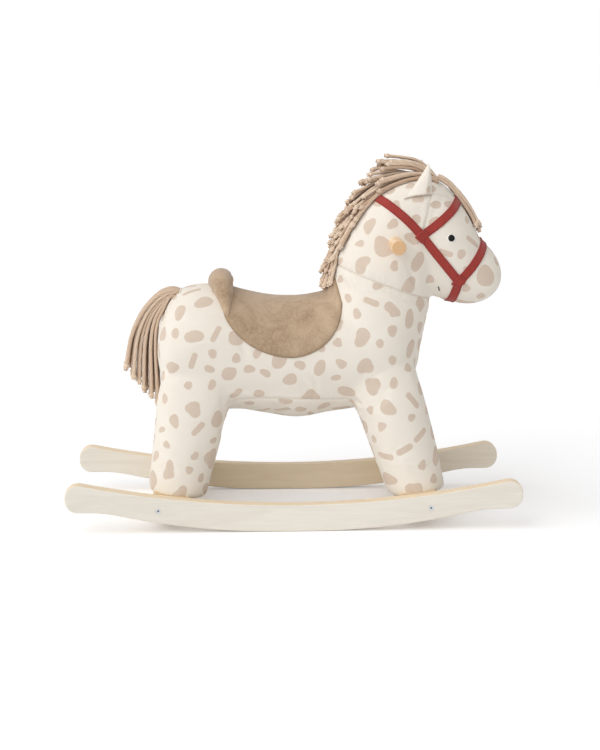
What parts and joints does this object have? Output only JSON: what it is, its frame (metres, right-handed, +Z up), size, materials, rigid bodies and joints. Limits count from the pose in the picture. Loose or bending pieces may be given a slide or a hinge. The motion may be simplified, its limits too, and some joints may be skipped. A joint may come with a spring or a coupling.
{
  "type": "rocking horse",
  "caption": "Stuffed toy rocking horse with saddle, bridle, yarn mane and tail, a handle bar through its neck, standing on cross rails between curved plywood rockers.",
  "frame": {"origin": "on the floor under the middle of the rockers, half way between them", "axes": "+X the way the horse faces, +Y to its left, +Z up"},
  "size_m": [0.74, 0.28, 0.5967],
  "materials": {
    "rocker_ply": "white washed plywood",
    "birch": "clear satin",
    "frame_timber": "raw",
    "steel": "zinc plated",
    "cotton": "brushed cotton, spotted",
    "suede": "faux suede",
    "yarn": "twisted cotton cord",
    "strap": "woven webbing",
    "eye": "gloss"
  },
  "bodies": {
    "horse": {"rocker_left": "rocker_ply", "rocker_right": "rocker_ply", "front_cross_rail": "birch", "rear_cross_rail": "birch", "handle": "birch", "leg_post_front_left": "frame_timber", "leg_post_front_right": "frame_timber", "leg_post_rear_left": "frame_timber", "leg_post_rear_right": "frame_timber", "seat_board": "frame_timber", "neck_board": "frame_timber", "locating_dowels": "frame_timber", "rocker_bolts": "steel", "barrel_nuts": "steel", "leg_screws": "steel", "seat_board_screws": "steel", "neck_brackets": "steel", "bracket_screws": "steel", "handle_pin": "steel", "torso": "cotton", "head": "cotton", "leg_front_left": "cotton", "leg_front_right": "cotton", "leg_rear_left": "cotton", "leg_rear_right": "cotton", "ear_left": "cotton", "ear_right": "cotton", "saddle_seat": "suede", "saddle_cantle": "suede", "mane": "yarn", "forelock": "yarn", "tail_tab": "yarn", "cheek_strap": "strap", "browband": "strap", "noseband": "strap", "chin_strap": "strap", "eyes": "eye"},
    "tail": {"tail": "yarn"}
  },
  "joints": [
    {"name": "tail_lift", "type": "hinge", "parent": "horse", "child": "tail", "pos_m": [-0.1915, 0, 0.3755], "axis": [0, 1, 0], "range_deg": [0, 35]}
  ]
}
